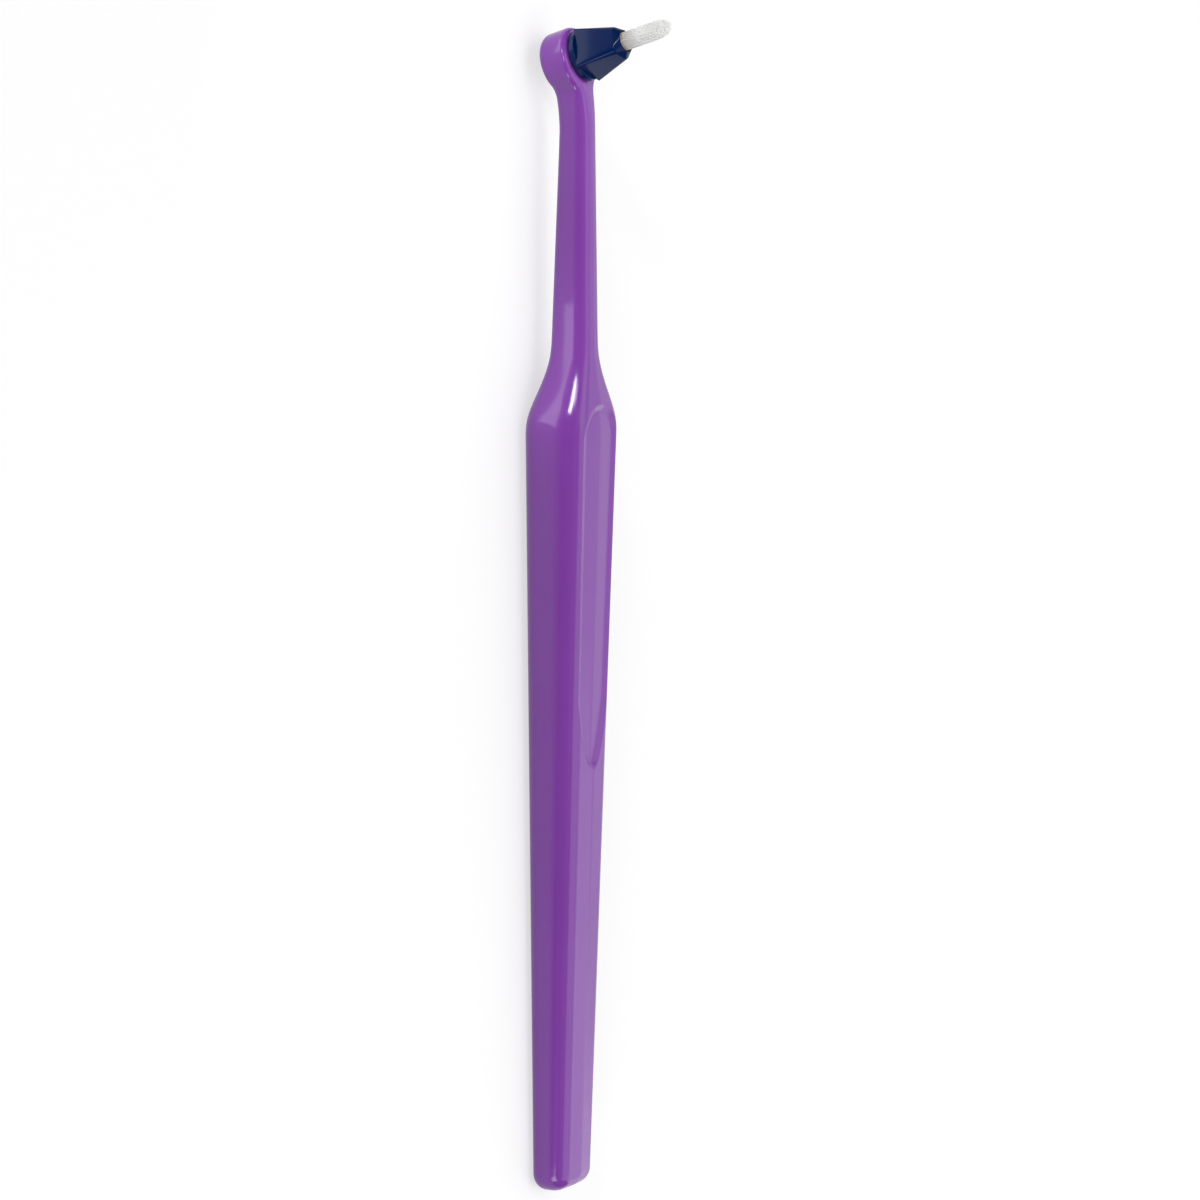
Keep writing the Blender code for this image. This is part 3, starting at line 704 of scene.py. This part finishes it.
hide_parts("handle")

# %% [markdown]
# ## The head
# The head is a second moulding: a plug with two ribs, a round flange that
# seats on the ring, and a block that is square at its foot and nearly round at
# its tip. One closed surface makes it all. Each ring of points is a rounded
# square whose side and corner radius depend on its place along the profile,
# and a rounded square whose corner radius is half its side is a circle.

# %% The head's sizes
FLANGE_GAP = 0.2 * MM
STEM_SHORT = 0.3 * MM
RIB_CLEARANCE = 0.06 * MM
SEAT = RING_THICKNESS / 2 + FLANGE_GAP
STEM_END = STEM_SHORT - RING_THICKNESS / 2
RIB_RADIUS = SOCKET_RADIUS - RIB_CLEARANCE
RIB_HEIGHT = 0.16 * MM
RIB_LENGTH = 0.8 * MM
RIB_COUNT = 2
STEM_RADIUS = RIB_RADIUS - RIB_HEIGHT
STEM_CHAMFER = 0.35 * MM
STEM_ROUND = 0.08 * MM
FLANGE_RADIUS = 3.7 * MM
FLANGE_HEIGHT = 0.9 * MM
FLANGE_ROUND = 0.15 * MM
BLOCK_HEIGHT = 6.5 * MM
BLOCK_SINK = 0.2 * MM
BASE_SIDE = 6.1 * MM
TIP_SIDE = 4.1 * MM
BASE_CORNER = 0.3 * MM
TIP_CORNER = 1.0 * MM
RIM_RADIUS = 1.65 * MM
RIM_RISE = 0.9 * MM
RIM_ROUND = 0.06 * MM
TIP_ROUND = 0.18 * MM
BASE_ROUND = 0.08 * MM
CLOCKING = math.radians(-22.0)
HOLE_RADIUS = 1.45 * MM
HOLE_DEPTH = 3.6 * MM
HOLE_LIP = 0.08 * MM
HOLE_FLOOR_ROUND = 0.05 * MM
CORNER_POINTS = 17
SIDE_POINTS = 9
MOST_OF_A_SIDE = 0.45
HEAD_MERGE = 1e-6
HEAD_SHARP_DEGREES = 28.0

flange_top = SEAT + FLANGE_HEIGHT
tip_height = flange_top + BLOCK_HEIGHT
shoulder_height = tip_height - RIM_RISE
base_height = flange_top - BLOCK_SINK
hole_floor = tip_height - HOLE_DEPTH


def rounded_square(side, corner, height):
    """Rings of points round rounded squares, one ring for each side, corner and height.

    A corner is a quarter circle about a point that lies half a side less the
    corner radius from the middle, both ways. The sides are straight between.
    """
    reach = side / 2 - corner
    sweep = np.linspace(0.0, math.pi / 2, CORNER_POINTS)
    bow_x = reach[:, None] + corner[:, None] * np.cos(sweep)
    bow_y = reach[:, None] + corner[:, None] * np.sin(sweep)
    run = np.linspace(0.0, 1.0, SIDE_POINTS + 2)[1:-1]
    flat_x = reach[:, None] * (1.0 - 2.0 * run)
    flat_y = np.broadcast_to((reach + corner)[:, None], flat_x.shape)
    one_x = np.concatenate([bow_x, flat_x], axis=1)
    one_y = np.concatenate([bow_y, flat_y], axis=1)
    turns = CLOCKING + math.pi / 2 * np.arange(4)[:, None, None]
    x = one_x * np.cos(turns) - one_y * np.sin(turns)
    y = one_x * np.sin(turns) + one_y * np.cos(turns)
    x = np.concatenate(list(x), axis=1)
    y = np.concatenate(list(y), axis=1)
    return on_head_axis(x, y, height[:, None])


def softened(corners, rounds, steps=5):
    """A profile of (half side, height) corners, with each inner one rounded.

    A corner gives way to a quadratic curve that leaves both its sides at the
    same distance from it: its rounding, or less than half the shorter side.
    """
    corners = np.asarray(corners, float)
    made = [corners[:1]]
    for before, here, after, rounding in zip(corners[:-2], corners[1:-1], corners[2:], rounds):
        to_before = before - here
        to_after = after - here
        before_length = np.linalg.norm(to_before)
        after_length = np.linalg.norm(to_after)
        leg = min(rounding, MOST_OF_A_SIDE * before_length, MOST_OF_A_SIDE * after_length)
        start = here + to_before / before_length * leg
        stop = here + to_after / after_length * leg
        t = np.linspace(0.0, 1.0, steps)[:, None]
        made.append((1 - t) ** 2 * start + 2 * t * (1 - t) * here + t**2 * stop)
    made.append(corners[-1:])
    return np.concatenate(made)


print("tip above the ring's middle in mm:", round(tip_height / MM, 2))

# %% [markdown]
# ### The head's profile
# The profile is walked from the middle of the tuft's hole, up its wall, over
# the rim, down the block, round the flange and along the ribbed plug to its
# end. The block's corner radius grows from its foot to its tip, so its four
# faces run out into the round rim.

# %% Build the head
bore_part = softened(
    [(0.0, hole_floor), (HOLE_RADIUS, hole_floor), (HOLE_RADIUS, tip_height), (RIM_RADIUS, tip_height)],
    [HOLE_FLOOR_ROUND, HOLE_LIP],
)
block_part = softened(
    [
        (HOLE_RADIUS + 1.2 * HOLE_LIP, tip_height),
        (RIM_RADIUS, tip_height),
        (TIP_SIDE / 2, shoulder_height),
        (BASE_SIDE / 2, base_height),
        (BASE_SIDE / 2 - 2 * FLANGE_ROUND, base_height),
    ],
    [RIM_ROUND, TIP_ROUND, BASE_ROUND],
)
bare_length = (SEAT - STEM_END - STEM_CHAMFER - RIB_COUNT * RIB_LENGTH) / (RIB_COUNT + 1)
stem_corners = [
    (FLANGE_RADIUS - 2 * FLANGE_ROUND, flange_top),
    (FLANGE_RADIUS, flange_top),
    (FLANGE_RADIUS, SEAT),
    (STEM_RADIUS, SEAT),
]
rib_height = SEAT
for rib in range(RIB_COUNT):
    rib_height -= bare_length
    stem_corners += [(STEM_RADIUS, rib_height), (RIB_RADIUS, rib_height - RIB_HEIGHT)]
    rib_height -= RIB_LENGTH
    stem_corners += [(RIB_RADIUS, rib_height + RIB_HEIGHT), (STEM_RADIUS, rib_height)]
stem_corners += [
    (STEM_RADIUS, STEM_END + STEM_CHAMFER),
    (STEM_RADIUS - STEM_CHAMFER, STEM_END),
    (0.0, STEM_END),
]
stem_part = softened(stem_corners, [FLANGE_ROUND] * 2 + [STEM_ROUND] * (len(stem_corners) - 4))


def round_rings(part):
    """Rings for a turned part: a rounded square whose corner radius is half its side."""
    return rounded_square(2 * part[:, 0], part[:, 0], part[:, 1])


down_block = share_between(block_part[:, 1], shoulder_height, base_height)
up_rim = share_between(block_part[:, 1], shoulder_height, tip_height)
block_corner = mix(mix(TIP_CORNER, BASE_CORNER, down_block), RIM_RADIUS, up_rim)
block_corner = np.minimum(block_corner, block_part[:, 0])
block_rings = rounded_square(2 * block_part[:, 0], block_corner, block_part[:, 1])
head_grid = np.concatenate([round_rings(bore_part), block_rings, round_rings(stem_part)])
head = put_in_scene("head_skin", head_grid, ring_faces(*head_grid.shape[:2]), navy)
tidy_mesh(head, HEAD_MERGE, HEAD_SHARP_DEGREES)
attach(head, "head_body")
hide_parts("brush_head")

# %% [markdown]
# ## The tuft
# The tuft is a bundle of several hundred nylon strands of one thickness. They
# stand in rows like cells of a honeycomb, fan out a little, and are cut to a
# soft point with the middle longest. Each strand gets six sides, a few rings
# and a rounded tip, which is enough at this size. A slow, shared sway keeps
# neighbours apart, so that no two cross. Strands that would meet the anchor in
# the hole start above it.

# %% Build the tuft
TUFT_CLEARANCE = 0.08 * MM
TUFT_RADIUS = HOLE_RADIUS - TUFT_CLEARANCE
TUFT_LENGTH = 7.6 * MM
STRAND_PITCH = 0.125 * MM
STRAND_RADIUS = 0.058 * MM
STRAND_SIDES = 6
TRIM_DROP = 2.1 * MM
TRIM_POWER = 4.0
TRIM_CHANCE = 0.45 * MM
TRIM_SEED = 7
SPREAD = 0.02
SWAY_TO_FRONT = 0.10 * MM
SWAY_TO_LEFT = 0.08 * MM
FRONT_WAVE = 900.0
FRONT_WAVE_START = 2.0
LEFT_WAVE = 800.0
FOOT_GAP = 0.08 * MM
ANCHOR_TOP_GAP = 1.27 * MM
FOOT = hole_floor + FOOT_GAP
ABOVE_ANCHOR = hole_floor + ANCHOR_TOP_GAP
HALF_ANCHOR = 0.14 * MM
STRAND_CLEARANCE = 0.03 * MM
ANCHOR_GAP = HALF_ANCHOR + STRAND_RADIUS + STRAND_CLEARANCE
RING_SHARES = np.array([0.0, 0.2, 0.4, 0.6, 0.8, 0.97, 1.0])
RING_SIZE_SHARES = np.array([1.0, 1.0, 1.0, 1.0, 1.0, 0.95, 0.55])

count = int(TUFT_RADIUS / STRAND_PITCH) + 2
lattice = np.arange(-2 * count, 2 * count + 1)
column, row = np.meshgrid(lattice, lattice)
cell_x = STRAND_PITCH * (column + 0.5 * (row % 2)).ravel()
cell_y = STRAND_PITCH * math.sqrt(0.75) * row.ravel()
kept = np.hypot(cell_x, cell_y) < TUFT_RADIUS - STRAND_RADIUS
cell_x, cell_y = cell_x[kept], cell_y[kept]
strand_count = len(cell_x)
chance = np.random.default_rng(TRIM_SEED)
reach_share = np.hypot(cell_x, cell_y) / TUFT_RADIUS
strand_top = tip_height + TUFT_LENGTH - TRIM_DROP * reach_share**TRIM_POWER
strand_top = strand_top - TRIM_CHANCE * chance.random(strand_count)
from_anchor = np.abs(cell_y * math.cos(CLOCKING) - cell_x * math.sin(CLOCKING))
foot = np.where(from_anchor < ANCHOR_GAP, ABOVE_ANCHOR, FOOT)
height = foot[:, None] + (strand_top - foot)[:, None] * RING_SHARES
free = np.maximum(height - tip_height, 0.0) / TUFT_LENGTH
sway_x = SWAY_TO_FRONT * np.sin(FRONT_WAVE * cell_x + FRONT_WAVE_START)[:, None] * free**2
sway_y = SWAY_TO_LEFT * np.cos(LEFT_WAVE * cell_y)[:, None] * free**2
centre_x = cell_x[:, None] * (1.0 + SPREAD * free) + sway_x
centre_y = cell_y[:, None] * (1.0 + SPREAD * free) + sway_y
turn = np.linspace(0.0, 2.0 * math.pi, STRAND_SIDES + 1)[:-1]
strand_x = centre_x[..., None] + STRAND_RADIUS * RING_SIZE_SHARES[None, :, None] * np.cos(turn)
strand_y = centre_y[..., None] + STRAND_RADIUS * RING_SIZE_SHARES[None, :, None] * np.sin(turn)
strand_grid = on_head_axis(strand_x, strand_y, height[..., None])

ring_count = len(RING_SHARES)
per_strand = ring_count * STRAND_SIDES
first_point = per_strand * np.arange(strand_count)[:, None]
one_strand = np.array(ring_faces(ring_count, STRAND_SIDES))
round_strand = np.arange(STRAND_SIDES)[None]
sides = (one_strand[None] + first_point[..., None]).reshape(-1, 4).tolist()
foot_cap = (round_strand[:, ::-1] + first_point).tolist()
tip_cap = (per_strand - STRAND_SIDES + round_strand + first_point).tolist()
nylon = strand_nylon(on_head_axis(0.0, 0.0, tip_height), head_axis, TUFT_LENGTH)
tuft = put_in_scene("tuft_strands", strand_grid, sides + foot_cap + tip_cap, nylon)
print("strands:", strand_count, "faces:", len(tuft.data.polygons))
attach(tuft, "head_body")
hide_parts("bristle_tuft")

# %% [markdown]
# ## The anchor
# The anchor sits deep in the hole and is never seen, so its solid stays as it
# is and only gets its metal.

# %% Finish the anchor
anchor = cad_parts["tuft_anchor"]
anchor.data.materials.clear()
anchor.data.materials.append(steel)
anchor_box = np.array([list(corner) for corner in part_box("tuft_anchor")])
print("anchor box in mm:", np.round(anchor_box / MM, 2).tolist())

# %% [markdown]
# ## The floor
# The brush lies on a plain pale floor, which keeps its shadow. A lift that
# only the camera sees makes the rest of it white. What the plastic mirrors
# gets the same lift, and in front of the brush that fades out, so that the
# side wall is lit near its foot and the near edge stays deep.

# %% Lay the floor
FLOOR_REACH = 3.0
FLOOR_GREY = 0.45
FLOOR_LIFT = 0.60
FADE_START = 0.010
FADE_END = 0.040

floor_mesh = bpy.data.meshes.new("floor")
floor_corners = [
    (-FLOOR_REACH, -FLOOR_REACH, 0.0),
    (FLOOR_REACH, -FLOOR_REACH, 0.0),
    (FLOOR_REACH, FLOOR_REACH, 0.0),
    (-FLOOR_REACH, FLOOR_REACH, 0.0),
]
floor_mesh.from_pydata(floor_corners, [], [(0, 1, 2, 3)])
floor = bpy.data.objects.new("floor", floor_mesh)
bpy.context.scene.collection.objects.link(floor)
pale, tree, shader, where = new_finish("floor_pale")
which_ray = node(tree, "ShaderNodeLightPath")
parts = node(tree, "ShaderNodeSeparateXYZ")
feed(tree, parts.inputs["Vector"], where)
fade = remap(tree, parts.outputs["Y"], FADE_START, FADE_END, 1.0, 0.0)
mirrored = calculate(tree, "MULTIPLY", which_ray.outputs["Is Glossy Ray"], fade)
seen_or_mirrored = calculate(tree, "MAXIMUM", which_ray.outputs["Is Camera Ray"], mirrored)
feed(tree, shader.inputs["Emission Strength"], calculate(tree, "MULTIPLY", seen_or_mirrored, FLOOR_LIFT))
shader.inputs["Emission Color"].default_value = WHITE
shader.inputs["Base Color"].default_value = (FLOOR_GREY, FLOOR_GREY, FLOOR_GREY, 1.0)
shader.inputs["Roughness"].default_value = 0.9
shader.inputs["Specular IOR Level"].default_value = 0.1
floor_mesh.materials.append(pale)
print("floor side in m:", 2 * FLOOR_REACH)
